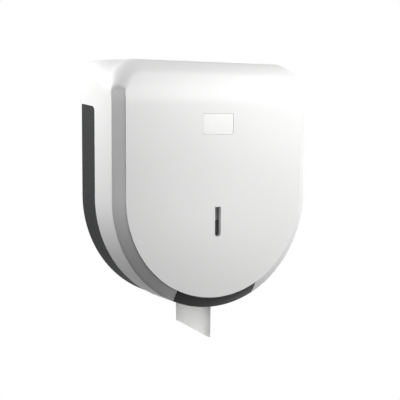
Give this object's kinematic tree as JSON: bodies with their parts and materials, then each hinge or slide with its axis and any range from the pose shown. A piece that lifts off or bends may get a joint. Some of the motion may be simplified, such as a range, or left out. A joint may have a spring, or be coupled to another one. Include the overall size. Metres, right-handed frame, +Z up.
{
  "type": "jumbo toilet roll dispenser",
  "caption": "Wall dispenser for a jumbo toilet roll: white D-shaped cover hinged at the bottom, dark rear housing, serrated cutter, level window and top lock.",
  "frame": {"origin": "on the wall plane, at the centre of the semicircular bottom, which is also the centre of the four wall screws", "axes": "+X to the right as seen from the front, +Y into the wall, +Z up"},
  "size_m": [0.324, 0.114, 0.4],
  "materials": {
    "housing": "fine-grained dark grey ABS",
    "cover": "smooth white ABS, satin gloss",
    "badge": "smooth white ABS, blank",
    "cutter": "polished dark grey plastic",
    "lens": "smoked clear plastic",
    "inner_plastic": "mid grey nylon",
    "felt": "pressed felt",
    "paper": "soft white tissue",
    "core": "wound grey-brown board",
    "plate_steel": "zinc-plated sheet steel",
    "screw_steel": "zinc-plated steel",
    "lock_metal": "nickel-plated zinc alloy"
  },
  "bodies": {
    "housing": {"back_plate": "housing", "hinge_pins": "screw_steel", "hinge_clips": "screw_steel", "spindle": "inner_plastic", "spindle_screws": "screw_steel", "felt_washer": "felt", "retaining_cap": "inner_plastic", "cap_screw": "screw_steel", "strike": "plate_steel", "strike_screws": "screw_steel", "paper_tail": "paper"},
    "roll": {"roll_hub": "inner_plastic", "roll_core": "core", "paper_roll": "paper"},
    "cover": {"cover": "cover", "cutter": "cutter", "cutter_screws": "screw_steel", "level_lens": "lens", "lens_frame": "inner_plastic", "lens_screws": "screw_steel", "badge_plate": "badge", "lock_housing": "lock_metal", "lock_washer": "screw_steel", "lock_nut": "screw_steel"},
    "lock": {"lock_barrel": "lock_metal", "lock_cam": "plate_steel", "cam_screw": "screw_steel"}
  },
  "joints": [
    {"name": "cover_hinge", "type": "hinge", "parent": "housing", "child": "cover", "pos_m": [0, -0.088, -0.138], "axis": [1, 0, 0], "range_deg": [0, 95], "deforming": ["paper_tail"]},
    {"name": "roll_spin", "type": "hinge", "parent": "housing", "child": "roll", "pos_m": [0, -0.05, 0.03], "axis": [0, 1, 0], "continuous": true},
    {"name": "lock_turn", "type": "hinge", "parent": "cover", "child": "lock", "pos_m": [0, -0.04, 0.18], "axis": [0, 0, 1], "range_deg": [-90, 0]}
  ]
}
